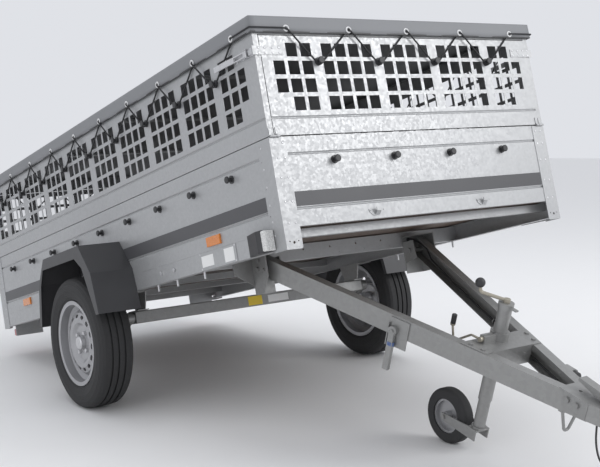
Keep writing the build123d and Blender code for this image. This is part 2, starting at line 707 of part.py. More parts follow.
def elastic_front():
    """The cord across the front, carried round both corners of the sheet."""
    out, inside, hook = -TARP_OUT - 4.5, -2.5, -9.0
    corner_y = SIDE_EYELETS[0] - SIDE_PITCH - 50.5
    start = [(-CORD_OUT, corner_y, EYELET_Z), (-CORD_OUT, out, EYELET_Z)]
    first = start + [(FRONT_EYELETS[0] - 20, out, EYELET_Z)]
    points = [(FRONT_EYELETS[0] - 19.5, out, EYELET_Z), (FRONT_EYELETS[0], out, EYELET_Z - 2)]
    for bar in FRONT_BARS:
        points.append((bar - 1, hook, HOOK_Z - 16.5))
        points.append((bar - 116 + FRONT_PITCH, inside, EYELET_Z))
        points.append((bar - 116 + FRONT_PITCH, out, EYELET_Z))
    points.append((FRONT_EYELETS[-1] + FRONT_PITCH + 25, out, EYELET_Z))
    last = [(FRONT_EYELETS[-1] + FRONT_PITCH + 25.5, out, EYELET_Z), (CORD_OUT, out, EYELET_Z),
            (CORD_OUT, corner_y, EYELET_Z)]
    return [tube_along(first, CORD_R, CORNER_BEND), tube_along(points, CORD_R, HOOK_BEND),
            tube_along(last, CORD_R, CORNER_BEND)]


# ---- drawbar ------------------------------------------------------------------------------
BEAM_TURN = degrees(atan(BEAM_TOE_IN))
BEAM_LOW = BEAM_MID - BEAM_HEIGHT / 2
BEAM_TOP = BEAM_MID + BEAM_HEIGHT / 2


def web_x(u):
    """Half width over the beams at a distance ahead of the pivot."""
    return BEAM_PIVOT_X - BEAM_TOE_IN * u


def on_left_web(u, t=0.0):
    """A place on the outer face of the left beam; local -x points outwards."""
    return Pos(-web_x(u), -u, t) * Rot(0, 0, BEAM_TURN)


def drawbar_bracket():
    """The left-hand hinge bracket and its bolt, in the box frame."""
    outline = [(487, 50), (487, -40), (530, -103), (589, -103), (589, 50)]
    outer = plate_yz(outline, -418.5, -414.5)
    inner = plate_yz([(520, 28), (512, -45), (589, -60), (589, 28)], -334, -330)
    back = block(-418.5, -330, 585.5, 589.5, -103, 50)
    bridge = block(-418.5, -330, 487, 589.5, 46, 50)
    gusset = plate_xz([(-418, 48), (-500, 20), (-500, -20), (-418, -70)], 585.5, 589.5)
    bracket = outer + inner + back + bridge + gusset
    bracket -= rod_y(GROMMET_R, 584, 591, -GROMMET_X, GROMMET_Z)
    bracket -= rod_x(PIVOT_BOLT_R + RUN, -430, -320, PIVOT_Y, PIVOT_Z)
    pieces = [bracket]
    bolt = rod_x(PIVOT_BOLT_R, -426, -322, PIVOT_Y, PIVOT_Z)
    bolt += hex_head(-418.8, PIVOT_Y, PIVOT_Z, 10, 7)
    bolt += hex_head(-322.7, PIVOT_Y, PIVOT_Z, 10, 7)
    pieces.append(bolt)
    for y, z in ((509, -18), (536, 20)):
        pieces.append(hex_head(-418.8, y, z, 7, 5))
    return pieces


def beam_strip(inside, outside):
    """Plan outline of a strip of the left beam between two offsets from its web."""
    u0, u1 = -BEAM_REAR, BEAM_FRONT
    return [(-web_x(u0) + outside, -u0), (-web_x(u1) + outside, -u1),
            (-web_x(u1) + inside, -u1), (-web_x(u0) + inside, -u0)]


def drawbar_beam():
    """The left-hand channel, open inwards, with a bush at the pivot."""
    web = plate_xy(beam_strip(BEAM_SHEET * 1.04, 0), BEAM_LOW, BEAM_TOP)
    low = plate_xy(beam_strip(BEAM_FLANGE, 0), BEAM_LOW, BEAM_LOW + BEAM_SHEET)
    high = plate_xy(beam_strip(BEAM_FLANGE, 0), BEAM_TOP - BEAM_SHEET, BEAM_TOP)
    beam = web + low + high
    beam -= block(-0.5, 80, -1400, -1100, -60, 90)
    beam += rod_x(10, -401.5, -368)
    beam -= rod_x(PIVOT_BOLT_R + RUN, -430, -340)
    for u in COUPLING_BOLTS:
        beam -= rod_x(PIVOT_BOLT_R + RUN, -90, -10, -u, COUPLING_BOLT_T)
    return beam


COUPLING_BOLTS = (1216.0, 1255.0)
COUPLING_BOLT_T = 27.0
CLAMP_U = 850.0


def ring_clip():
    """A wire ring inside the right-hand beam that holds the lead."""
    x, y, t = lead_place(638.0)
    hoop = Pos(x, y, t) * Rot(90, 0, -BEAM_TURN) * Torus(8.5, 2)
    stem = block(x + 8, x + 14, y - 2, y + 2, t - 2, t + 2)
    return hoop + stem


def cross_plate():
    """The angle across the beams with the clamp sleeve of the jockey wheel."""
    z0 = BEAM_TOP + SEAT
    rear, front = 822.0, 920.0
    plan = [(-web_x(rear) + 4, -rear), (-web_x(front) + 4, -front),
            (web_x(front) - 4, -front), (web_x(rear) - 4, -rear)]
    plate = plate_xy(plan, z0, z0 + 3)
    plate += block(-90, 90, -front, -front + 3, z0 - 65, z0 + 3)
    plate += rod_z(33, z0 + 2, z0 + 32, 0, -JOCKEY_U)
    plate += block(-84, -20, -CLAMP_U - 12, -CLAMP_U + 12, z0 + 2, z0 + 28)
    plate -= rod_z(JOCKEY_TUBE_R + RUN, z0 - 10, z0 + 40, 0, -JOCKEY_U)
    plate -= block(-90, 0, -CLAMP_U - 1.5, -CLAMP_U + 1.5, z0 + 4, z0 + 40)
    plate -= rod_x(5 + RUN, -90, -30, -CLAMP_U, z0 + 16)
    for side in (-1, 1):
        for u in (850.0, 895.0):
            plate += rod_z(8, z0 + 2, z0 + 8, side * (web_x(u) - 22), -u)
        plate += rod_y(7, -front - 5, -front + 1, side * 60, z0 - 30)
    return plate


def clamp_lever():
    """The screw of the clamp and its bent-rod lever with a grip."""
    t = BEAM_TOP + SEAT + 16
    screw = rod_x(5, -96, -32, -CLAMP_U, t)
    rod = tube_along([(-91, -CLAMP_U, t), (-91, -806, t - 4), (-91, -733, t - 62),
                      (-88, -712, t - 12)], 4, 16)
    collar = rod_x(9, -97, -84.5, -CLAMP_U, t)
    grip = rod_z(9, t - 13, t + 27, -87, -711)
    return [screw + rod + collar + fillet(grip.edges(), 3)]


def jockey_tube():
    """The outer tube with its cap and the small locking tab."""
    tube = rod_z(JOCKEY_TUBE_R, -180, 178, 0, -JOCKEY_U)
    tube += rod_z(JOCKEY_TUBE_R + 3, 164, 184, 0, -JOCKEY_U)
    tube += block(-7, 7, -JOCKEY_U - 52, -JOCKEY_U - 20, 171, 176)
    tube -= rod_z(JOCKEY_INNER_R + RUN, -181, 166, 0, -JOCKEY_U)
    return tube - rod_z(8 + RUN, 150, 200, 0, -JOCKEY_U)


def jockey_crank():
    """The spindle inside the tube, the bent crank and its ball knob."""
    spindle = rod_z(8, -90, 197, 0, -JOCKEY_U)
    hub = rod_z(12, 184 + SEAT, 197, 0, -JOCKEY_U)
    arm = tube_along([(0, -JOCKEY_U, 191), (-66, -JOCKEY_U + 62, 204),
                      (-70, -JOCKEY_U + 66, 226)], 6, 12)
    knob = Pos(-71, -JOCKEY_U + 67, 236) * Sphere(17)
    return spindle + hub + arm + knob


def jockey_inner():
    tube = rod_z(JOCKEY_INNER_R, -283, 20, 0, -JOCKEY_U)
    return tube - rod_z(8 + RUN, -200, 21, 0, -JOCKEY_U)


def jockey_wheel_place():
    """Drawbar-frame y and z of the jockey wheel's centre, the wheel standing on the ground."""
    y = -(JOCKEY_U - JOCKEY_TRAIL)
    low = drawbar_point(0, y, 0)[2]
    return y, (JOCKEY_WHEEL_R - low) / cos(radians(DRAWBAR_PITCH))


def jockey_fork():
    """The castor head, its two legs and the wheel axle."""
    y, t = jockey_wheel_place()
    head = rod_z(26, -292, -283 - SEAT, 0, -JOCKEY_U)
    yoke = block(-33, 33, -JOCKEY_U - 20, -JOCKEY_U + 22, -297, -291)
    legs = plate_yz([(-JOCKEY_U - 20, -291), (-JOCKEY_U + 22, -291), (y + 14, t + 10),
                     (y + 14, t - 14), (y - 14, t - 14), (-JOCKEY_U - 20, -330)], -33, -29)
    axle = rod_x(8, -38, 38, y, t)
    return head + yoke + legs + mirrored(legs) + axle


def jockey_rim():
    y, t = jockey_wheel_place()
    hub = rod_x(17, -27, 27, y, t)
    wheel = rod_x(62, -18, 18, y, t) - rod_x(54, -19, 19, y, t)
    web = rod_x(56, -4, 4, y, t)
    return hub + wheel + web - rod_x(8 + RUN, -30, 30, y, t)


def jockey_tyre():
    y, t = jockey_wheel_place()
    tyre = rod_x(JOCKEY_WHEEL_R, -JOCKEY_WHEEL_W / 2, JOCKEY_WHEEL_W / 2, y, t)
    tyre = fillet(tyre.edges(), 14)
    return tyre - rod_x(62, -30, 30, y, t)


def coupling_body():
    """The pressed coupling: a saddle over the beams and a domed ball socket."""
    t0 = BEAM_TOP + SEAT
    saddle = plate_xy([(-60, -1175), (-60, -1290), (60, -1290), (60, -1175)], t0, t0 + 4)
    saddle -= rod_z(6, t0 - 1, t0 + 5, -14, -1223)
    saddle -= block(26, 34, -1232, -1210, t0 - 1, t0 + 5)
    body = saddle
    for side in (-1, 1):
        body += block(side * 56, side * 60, -1290, -1195, 2, t0 + 1)
    body += block(-60, 60, -1294, -1287, -5, t0 + 4)
    neck = plate_xy([(-60, -1287), (-41, -1340), (-41, -BALL_U), (41, -BALL_U), (41, -1340),
                     (60, -1287)], -5, t0 + 4)
    hollow = plate_xy([(-55, -1294), (-36, -1342), (-34, -1402), (34, -1402), (36, -1342),
                       (55, -1294)], -6, t0)
    dome = rod_z(41, -5, 30, 0, -BALL_U) + Pos(0, -BALL_U, 30) * Sphere(41)
    dome -= block(-60, 60, -BALL_U - 60, -BALL_U + 60, t0 + 4, 120)
    dome -= block(-60, 60, -BALL_U - 60, -BALL_U + 60, -60, -5)
    body += neck + dome
    body -= hollow
    body -= rod_z(BALL_BORE_R, -6, BALL_T, 0, -BALL_U)
    body -= Pos(0, -BALL_U, BALL_T) * Sphere(BALL_BORE_R)
    for u in COUPLING_BOLTS:
        body -= rod_x(PIVOT_BOLT_R + RUN, -70, 70, -u, COUPLING_BOLT_T)
    for side in (-1, 1):
        body += plate_yz([(-HANDLE_U - 14, t0 + 3), (-HANDLE_U + 14, t0 + 3),
                          (-HANDLE_U + 6, t0 + 22), (-HANDLE_U - 6, t0 + 22)],
                         side * 20, side * 23)
    body -= rod_x(4 + RUN, -30, 30, -HANDLE_U, HANDLE_T)
    bolts = []
    for u in COUPLING_BOLTS:
        bolt = rod_x(PIVOT_BOLT_R, -66, 66, -u, COUPLING_BOLT_T)
        bolt += hex_head(-60.2, -u, COUPLING_BOLT_T, 10, 7)
        bolt += mirrored(hex_head(-60.2, -u, COUPLING_BOLT_T, 10, 7))
        bolts.append(bolt)
    return [body] + bolts


HANDLE_U = 1345.0
HANDLE_T = 66.0


def coupling_handle():
    """The pressed hand lever, a channel open below."""
    outer = plate_yz([(-HANDLE_U - 10, HANDLE_T - 7), (-HANDLE_U - 10, HANDLE_T + 8),
                      (-HANDLE_U + 60, HANDLE_T + 20), (-1208, HANDLE_T + 26),
                      (-1206, HANDLE_T + 16), (-HANDLE_U + 60, HANDLE_T - 4)], -17, 17)
    cavity = plate_yz([(-HANDLE_U - 11, HANDLE_T - 8), (-HANDLE_U - 11, HANDLE_T + 4),
                       (-HANDLE_U + 60, HANDLE_T + 16), (-1216, HANDLE_T + 22),
                       (-1200, HANDLE_T + 10), (-HANDLE_U + 60, HANDLE_T - 20)], -14, 14)
    pin = rod_x(4, -24, 24, -HANDLE_U, HANDLE_T)
    return outer - cavity + pin


def rod_loop():
    """The bent safety rod under the beams behind the coupling."""
    low = BEAM_LOW - SEAT
    loop = tube_along([(-40, -1195, low - 5), (0, -1195, -128), (40, -1195, low - 5)], 5, 14)
    feet = [block(s * 30, s * 50, -1205, -1185, low - 6, low) for s in (-1, 1)]
    return loop + feet


def tilt_latch_bracket():
    plate = block(-4.3, -SEAT, -25, 52, -62, 41)
    plate += block(-14, -SEAT, 50, 54, -62, 20)
    pin = rod_x(6, -24, -1, 51 - 20, -3)
    return on_left_web(617) * (plate + pin)


def tilt_latch_lever():
    """The hanging channel lever of the tilt latch."""
    y, t = 31.0, -3.0
    disc = rod_x(17, -20, -5, y, t)
    arm = block(-22, -6, y - 11, y + 11, t - 146, t) - block(-20, -5, y - 9, y + 9, t - 140, t - 20)
    return on_left_web(617) * (disc + arm - rod_x(6 + RUN, -30, 0, y, t))


# ---- lead ----------------------------------------------------------------------------------
def lead_place(u):
    """Where the lead lies inside the right-hand beam."""
    return web_x(u) - 16, -u, -10.0


def to_drawbar(x, y, z):
    """A point of the box frame in the drawbar frame."""
    py, pz = pitched(y - PIVOT_Y, z - PIVOT_Z, -DRAWBAR_FOLD)
    return x, py, pz


LEAD_FIXED = [to_drawbar(GROMMET_X, 640, GROMMET_Z), to_drawbar(GROMMET_X, 563, GROMMET_Z),
              (382, 4, 27), (376, -46, 24), (355, -110, 0), lead_place(300),
              lead_place(1230), (13.0, -1283.0, -16.0)]
LEAD_FREE = [(12.6, -1285.0, -16.2), (14.0, -1330.0, -27.0), (18.0, -1368.0, -72.0),
             (32.0, -1372.0, -130.0), (56.0, -1340.0, -176.0), (84.0, -1285.0, -186.0),
             (106.0, -1240.0, -150.0), (114.0, -1222.0, -92.0), (114.0, -1208.0, -34.0),
             (112.0, -1186.0, 6.0), (111.0, -1150.0, 14.0), (111.0, -1131.0, 14.0)]


def lead_fixed():
    tube = tube_along(LEAD_FIXED, LEAD_R, 60)
    return tube


def grommet():
    ring = rod_y(GROMMET_R + 3, 592.5 + SEAT, 597, GROMMET_X, GROMMET_Z)
    ring += rod_y(GROMMET_R - SEAT, 585, 594, GROMMET_X, GROMMET_Z)
    return ring - rod_y(LEAD_R + SEAT, 580, 600, GROMMET_X, GROMMET_Z)


def lead_free():
    return tube_along(LEAD_FREE, LEAD_R, 60)


def lead_plug():
    x, y, t = LEAD_FREE[-1]
    body = rod_y(20, y + 22, y + 62, x, t)
    neck = rod_y(11, y + 0.5, y + 23, x, t)
    return fillet(body.edges(), 2) + neck


def plug_holder():
    """A socket ring on the outer face of the right-hand beam where the plug is parked."""
    x, y, t = LEAD_FREE[-1]
    cup = rod_y(24, y + 40, y + 78, x, t) - rod_y(20.3, y + 30, y + 74, x, t)
    u = -(y + 59)
    pad = mirrored(on_left_web(u) * block(-20, -SEAT, -16, 16, t - 16, t + 16))
    pad -= rod_y(20.3, y + 30, y + 74, x, t)
    return cup + pad


# ---- output -----------------------------------------------------------------------------------
def both(shape):
    return [shape, mirrored(shape)]


def each(pieces):
    return pieces + [mirrored(p) for p in pieces]


def flat(items):
    """A flat list of the solids of shapes and lists of shapes."""
    found = []
    for item in items:
        if isinstance(item, (list, tuple)) and not hasattr(item, "solids"):
            found += flat(item)
        else:
            found += list(item.solids())
    return found


def box_nodes():
    post_f, post_r = corner_post(True), corner_post(False)
    bracket = gate_hinge()[1]
    panel = [side_mesh(), bracket, at_rear(bracket)]
    gate_f, gate_r = mesh_gate(True), mesh_gate(False)
    lever, rear_lever = gate_latch_lever(235), at_rear(gate_latch_lever(198))
    return {
        "floor_panel": [floor_panel()],
        "front_wall": front_wall(),
        "side_wall_left": [side_wall()],
        "side_wall_right": [mirrored(side_wall())],
        "corner_posts": both(post_f) + both(post_r),
        "side_rails": both(side_rail()) + both(overlay_plate()),
        "cross_members": cross_members() + tail_hinge_fixed() + both(lamp_rear()[0]),
        "side_mesh_left": panel,
        "side_mesh_right": [mirrored(p) for p in panel],
        "tarp_bows": tarp_bows(),
        "drawbar_brackets": each(drawbar_bracket()),
        "axle_beam": axle_beam(),
        "mudguard_left": [mudguard()],
        "mudguard_right": [mirrored(mudguard())],
        "front_lamps": both(lamp_front()[1]),
        "side_reflectors": each([reflector(448), reflector(2350)]),
        "rear_lamps": both(lamp_rear()[1]),
        "wall_bobbins": wall_bobbins(),
        "gate_latch_bases": both(gate_latch_base()) + both(at_rear(gate_latch_base())),
        "frame_bolts": frame_bolts(),
        "lamp_holders_and_grommet": both(lamp_front()[0]) + [grommet()],
        "tarp": [tarp()],
        "elastic_sides": both(elastic_side()),
        "elastic_front": elastic_front(),
        "elastic_rear": [at_rear(p) for p in elastic_front()],
        "tailgate": tailgate(),
        "front_gate": gate_f,
        "front_gate_bobbins": [bobbin_on_front(x, HOOK_Z, -SEAT) for x in FRONT_BARS],
        "rear_gate": gate_r,
        "rear_gate_bobbins": [bobbin_on_rear(x, HOOK_Z, BOX_LENGTH + SEAT) for x in FRONT_BARS],
        "latch_lever_front_left": [lever],
        "latch_lever_front_right": [mirrored(lever)],
        "latch_lever_rear_left": [rear_lever],
        "latch_lever_rear_right": [mirrored(rear_lever)],
        "swing_arm_left": [swing_arm()],
        "swing_arm_right": [mirrored(swing_arm())],
        "rim_left": [wheel_rim()],
        "rim_right": [mirrored(wheel_rim())],
        "tyre_left": [wheel_tyre()],
        "tyre_right": [mirrored(wheel_tyre())],
        "hub_left": wheel_hub(),
        "hub_right": [mirrored(p) for p in wheel_hub()],
    }


def wall_bobbins():
    side = [bobbin_on_flank_at(y, z) for y in SIDE_BARS for z in (KNOB_Z, HOOK_Z)]
    front = [bobbin_on_front(x, KNOB_Z, FRONT_FACE - SEAT) for x in FRONT_BARS]
    return each(side) + front


def bobbin_on_flank_at(y, z):
    return Pos(-SEAT, 0, 0) * bobbin_on_flank(y, z)


def drawbar_nodes():
    beam = drawbar_beam()
    return {
        "drawbar_beam_left": [beam],
        "drawbar_beam_right": [mirrored(beam) + ring_clip(), plug_holder()],
        "drawbar_cross_plate": [cross_plate()],
        "coupling_body": coupling_body(),
        "coupling_handle": [coupling_handle()],
        "tilt_latch_bracket": [tilt_latch_bracket()],
        "tilt_latch_lever": [tilt_latch_lever()],
        "rod_loop": [rod_loop()],
        "clamp_lever": clamp_lever(),
        "jockey_tube": [jockey_tube()],
        "jockey_crank": [jockey_crank()],
        "jockey_inner_tube": [jockey_inner()],
        "jockey_fork": [jockey_fork()],
        "jockey_rim": [jockey_rim()],
        "jockey_tyre": [jockey_tyre()],
        "lead_fixed": [lead_fixed()],
        "lead_free": [lead_free()],
        "lead_plug": [lead_plug()],
    }


def in_row():
    """Every node on the ground, the origin at the middle of the bottom of its bounds."""
    nodes = {}
    for name, pieces in box_nodes().items():
        nodes[name] = [BOX_AT * solid for solid in flat(pieces)]
    for name, pieces in drawbar_nodes().items():
        nodes[name] = [DRAWBAR_AT * solid for solid in flat(pieces)]
    boxes = [s.bounding_box() for pieces in nodes.values() for s in pieces]
    low = [min(getattr(b.min, axis) for b in boxes) for axis in "XYZ"]
    high = [max(getattr(b.max, axis) for b in boxes) for axis in "XYZ"]
    shift = ((low[0] + high[0]) / 2, (low[1] + high[1]) / 2, low[2])
    print("bounds", [round(b - a, 2) for a, b in zip(low, high)], "shift", shift)
    back = Pos(-shift[0], -shift[1], -shift[2])
    return {name: [back * s for s in pieces] for name, pieces in nodes.items()}, shift


if __name__ == "__main__":
    os.makedirs("parts", exist_ok=True)
    row_nodes, row_shift = in_row()
    for name, pieces in row_nodes.items():
        shape = pieces[0] if len(pieces) == 1 else Compound(children=pieces)
        export_step(shape, f"parts/{name}.step")
    print(len(row_nodes), "nodes")
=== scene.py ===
import bpy
import bmesh
import json
from math import cos, pi, radians, sin
from mathutils import Matrix, Vector


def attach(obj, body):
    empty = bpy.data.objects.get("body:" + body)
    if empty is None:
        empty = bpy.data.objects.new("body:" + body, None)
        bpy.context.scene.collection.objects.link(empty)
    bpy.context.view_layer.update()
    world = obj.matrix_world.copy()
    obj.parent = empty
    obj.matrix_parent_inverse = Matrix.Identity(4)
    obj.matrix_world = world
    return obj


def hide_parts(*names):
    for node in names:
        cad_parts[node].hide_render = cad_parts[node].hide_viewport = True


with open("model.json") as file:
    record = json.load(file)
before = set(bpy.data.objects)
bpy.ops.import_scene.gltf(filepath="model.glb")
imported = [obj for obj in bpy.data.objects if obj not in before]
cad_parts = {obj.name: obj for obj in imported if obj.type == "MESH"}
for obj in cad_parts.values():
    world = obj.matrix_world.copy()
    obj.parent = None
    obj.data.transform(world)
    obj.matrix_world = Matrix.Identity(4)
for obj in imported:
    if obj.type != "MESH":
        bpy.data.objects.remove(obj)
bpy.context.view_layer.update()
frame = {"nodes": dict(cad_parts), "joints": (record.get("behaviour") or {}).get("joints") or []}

# ---- Standing on the workshop floor ----
# The trailer stands on its two wheels and the jockey wheel, with the box tipped back on
# the drawbar hinge. Box and drawbar each have their own straight frame of measurements.
tilt = next(j for j in frame["joints"] if j["name"] == "drawbar_tilt")
hinge_at = Matrix.Translation(Vector(tilt["pos_m"]))
box_frame = (hinge_at @ Matrix.Rotation(radians(-13.1), 4, "X")
             @ Matrix.Translation((0, -0.548, 0.011)))
drawbar_frame = hinge_at @ Matrix.Rotation(radians(17.4), 4, "X")
box_length = 2.73
box_half = 0.645

eye = bpy.data.cameras.new("eye")
eye.lens = 64.72
eye.sensor_width = 36.0
eye.clip_end = 100.0
camera = bpy.data.objects.new("eye", eye)
bpy.context.scene.collection.objects.link(camera)
camera.matrix_world = Matrix(((0.8160520, 0.0867256, -0.5714350, -2.5812077),
                              (-0.5768847, 0.0614168, -0.8145134, -3.8090919),
                              (-0.0355434, 0.9943373, 0.1001499, 1.1479681),
                              (0.0, 0.0, 0.0, 1.0)))
bpy.context.scene.camera = camera


# ---- Free lead and its plug ----
# The lighting lead leaves the front end of the drawbar beam, hangs in one loop and is
# parked by its plug in the holder on the right-hand beam. Black PVC, 7 mm.
def grained(name, base, rough, scale, depth, variation=0.15, metallic=0.0):
    """A finish with a fine grain: colour varies softly and the grain lifts the surface."""
    material = bpy.data.materials.new(name)
    material.use_nodes = True
    nodes, links = material.node_tree.nodes, material.node_tree.links
    shader = nodes["Principled BSDF"]
    shader.inputs["Metallic"].default_value = metallic
    place = nodes.new("ShaderNodeTexCoord")
    cloud = nodes.new("ShaderNodeTexNoise")
    cloud.inputs["Scale"].default_value = 7.0
    cloud.inputs["Detail"].default_value = 5.0
    grain = nodes.new("ShaderNodeTexNoise")
    grain.inputs["Scale"].default_value = scale
    grain.inputs["Detail"].default_value = 3.0
    tint = nodes.new("ShaderNodeMix")
    tint.data_type = "RGBA"
    tint.inputs["A"].default_value = [c * (1 - variation) for c in base] + [1]
    tint.inputs["B"].default_value = [min(1, c * (1 + variation)) for c in base] + [1]
    wear = nodes.new("ShaderNodeMapRange")
    wear.inputs["To Min"].default_value = rough - 0.08
    wear.inputs["To Max"].default_value = rough + 0.08
    lift = nodes.new("ShaderNodeBump")
    lift.inputs["Strength"].default_value = 0.35
    lift.inputs["Distance"].default_value = depth
    for texture in (cloud, grain):
        links.new(place.outputs["Object"], texture.inputs["Vector"])
    links.new(cloud.outputs["Fac"], tint.inputs["Factor"])
    links.new(tint.outputs["Result"], shader.inputs["Base Color"])
    links.new(cloud.outputs["Fac"], wear.inputs["Value"])
    links.new(wear.outputs["Result"], shader.inputs["Roughness"])
    links.new(grain.outputs["Fac"], lift.inputs["Height"])
    links.new(lift.outputs["Normal"], shader.inputs["Normal"])
    return material


def dress(material, *names):
    """Puts one finish on whole carried-over pieces."""
    for name in names:
        slots = frame["nodes"][name].data.materials
        slots.clear()
        slots.append(material)


sheath = grained("lead_sheath", (0.035, 0.035, 0.037), 0.5, 400, 0.0002)
black_plastic = grained("black_moulding", (0.03, 0.03, 0.032), 0.45, 600, 0.0002)
lead_route = [(0.0126, -1.285, -0.0162), (0.014, -1.330, -0.027), (0.018, -1.368, -0.072),
              (0.032, -1.372, -0.130), (0.056, -1.340, -0.176), (0.084, -1.285, -0.186),
              (0.106, -1.240, -0.150), (0.114, -1.222, -0.092), (0.114, -1.208, -0.034),
              (0.112, -1.186, 0.006), (0.111, -1.150, 0.014), (0.111, -1.131, 0.014)]
lead_curve = bpy.data.curves.new("lead", "CURVE")
lead_curve.dimensions = "3D"
lead_curve.bevel_depth = 0.0035
lead_curve.bevel_resolution = 4
lead_curve.resolution_u = 12
spline = lead_curve.splines.new("NURBS")
spline.points.add(len(lead_route) - 1)
for point, place in zip(spline.points, lead_route):
    point.co = (*(drawbar_frame @ Vector(place)), 1)
spline.order_u = 3
spline.use_endpoint_u = True
lead_curve.materials.append(sheath)
lead = bpy.data.objects.new("lead", lead_curve)
bpy.context.scene.collection.objects.link(lead)
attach(lead, "drawbar")
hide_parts("lead_free")
dress(black_plastic, "lead_plug", "lamp_holders_and_grommet")
dress(sheath, "lead_fixed")


# ---- Floor and studio light ----
# A pale seamless floor, a large soft key from the front right, a fill from the left and
# an overhead softbox.
floor_mesh = bpy.data.meshes.new("studio_floor")
builder = bmesh.new()
bmesh.ops.create_grid(builder, x_segments=2, y_segments=2, size=20)
builder.to_mesh(floor_mesh)
builder.free()
floor = bpy.data.objects.new("studio_floor", floor_mesh)
bpy.context.scene.collection.objects.link(floor)
floor_mesh.materials.append(grained("studio_floor", (0.86, 0.86, 0.86), 0.7, 40, 0.0, 0.01))
for name, place, aim, size, power in (
        ("key", (3.6, -5.5, 4.2), (0, -0.2, 0.7), 3.0, 150),
        ("fill", (-5.5, -2.0, 2.6), (0, 0, 0.7), 4.0, 25),
        ("overhead", (0.5, 1.0, 5.5), (0, 0.5, 0.8), 5.0, 70)):
    light = bpy.data.lights.new(name, "AREA")
    light.size = size
    light.energy = power
    lamp = bpy.data.objects.new(name, light)
    bpy.context.scene.collection.objects.link(lamp)
    turn = (Vector(aim) - Vector(place)).to_track_quat("-Z", "Y").to_matrix().to_4x4()
    lamp.matrix_world = Matrix.Translation(place) @ turn
world = bpy.data.worlds.new("studio")
world.use_nodes = True
world.node_tree.nodes["Background"].inputs["Color"].default_value = (0.93, 0.95, 1.0, 1)
world.node_tree.nodes["Background"].inputs["Strength"].default_value = 0.8
bpy.context.scene.world = world
bpy.context.scene.view_settings.view_transform = "Standard"

# ---- Galvanised walls and sections ----
# Folded sheet with a fine spangle for the box, thicker hot-dipped sections under it and
# for the drawbar. Both share one zinc bloom; the sections are duller and more blotched.
bloom = bpy.data.node_groups.new("zinc_bloom", "ShaderNodeTree")
for name in ("Light", "Dark"):
    bloom.interface.new_socket(name, in_out="INPUT", socket_type="NodeSocketColor")
bloom.interface.new_socket("Spangle", in_out="INPUT", socket_type="NodeSocketFloat")
bloom.interface.new_socket("Colour", in_out="OUTPUT", socket_type="NodeSocketColor")
bloom.interface.new_socket("Roughness", in_out="OUTPUT", socket_type="NodeSocketFloat")
bloom.interface.new_socket("Normal", in_out="OUTPUT", socket_type="NodeSocketVector")
enter = bloom.nodes.new("NodeGroupInput")
leave = bloom.nodes.new("NodeGroupOutput")
where = bloom.nodes.new("ShaderNodeTexCoord")
crystal = bloom.nodes.new("ShaderNodeTexVoronoi")
crystal_tone = bloom.nodes.new("ShaderNodeSeparateColor")
cloud = bloom.nodes.new("ShaderNodeTexNoise")
cloud.inputs["Scale"].default_value = 4.0
cloud.inputs["Detail"].default_value = 8.0
scuff = bloom.nodes.new("ShaderNodeTexNoise")
scuff.inputs["Scale"].default_value = 180.0
scuff.inputs["Detail"].default_value = 4.0
blend_tone = bloom.nodes.new("ShaderNodeMath")
blend_tone.operation = "MULTIPLY_ADD"
blend_tone.inputs[1].default_value = 0.45
tone = bloom.nodes.new("ShaderNodeMix")
tone.data_type = "RGBA"
half_cloud = bloom.nodes.new("ShaderNodeMath")
half_cloud.operation = "MULTIPLY"
half_cloud.inputs[1].default_value = 0.6
sheen = bloom.nodes.new("ShaderNodeMapRange")
sheen.inputs["To Min"].default_value = 0.34
sheen.inputs["To Max"].default_value = 0.52
dent = bloom.nodes.new("ShaderNodeBump")
dent.inputs["Strength"].default_value = 0.12
dent.inputs["Distance"].default_value = 0.0006
for texture in (crystal, cloud, scuff):
    bloom.links.new(where.outputs["Object"], texture.inputs["Vector"])
bloom.links.new(enter.outputs["Spangle"], crystal.inputs["Scale"])
bloom.links.new(crystal.outputs["Color"], crystal_tone.inputs["Color"])
bloom.links.new(cloud.outputs["Fac"], half_cloud.inputs[0])
bloom.links.new(crystal_tone.outputs["Red"], blend_tone.inputs[0])
bloom.links.new(half_cloud.outputs["Value"], blend_tone.inputs[2])
bloom.links.new(blend_tone.outputs["Value"], tone.inputs["Factor"])
bloom.links.new(enter.outputs["Light"], tone.inputs["A"])
bloom.links.new(enter.outputs["Dark"], tone.inputs["B"])
bloom.links.new(tone.outputs["Result"], leave.inputs["Colour"])
bloom.links.new(crystal_tone.outputs["Green"], sheen.inputs["Value"])
bloom.links.new(sheen.outputs["Result"], leave.inputs["Roughness"])
bloom.links.new(scuff.outputs["Fac"], dent.inputs["Height"])
bloom.links.new(dent.outputs["Normal"], leave.inputs["Normal"])


def galvanised(name, light, dark, spangle, metallic):
    """A zinc finish on the shared bloom."""
    material = bpy.data.materials.new(name)
    material.use_nodes = True
    nodes, links = material.node_tree.nodes, material.node_tree.links
    shader = nodes["Principled BSDF"]
    shader.inputs["Metallic"].default_value = metallic
    coat = nodes.new("ShaderNodeGroup")
    coat.node_tree = bloom
    coat.inputs["Light"].default_value = (*light, 1)
    coat.inputs["Dark"].default_value = (*dark, 1)
    coat.inputs["Spangle"].default_value = spangle
    links.new(coat.outputs["Colour"], shader.inputs["Base Color"])
    links.new(coat.outputs["Roughness"], shader.inputs["Roughness"])
    links.new(coat.outputs["Normal"], shader.inputs["Normal"])
    return material


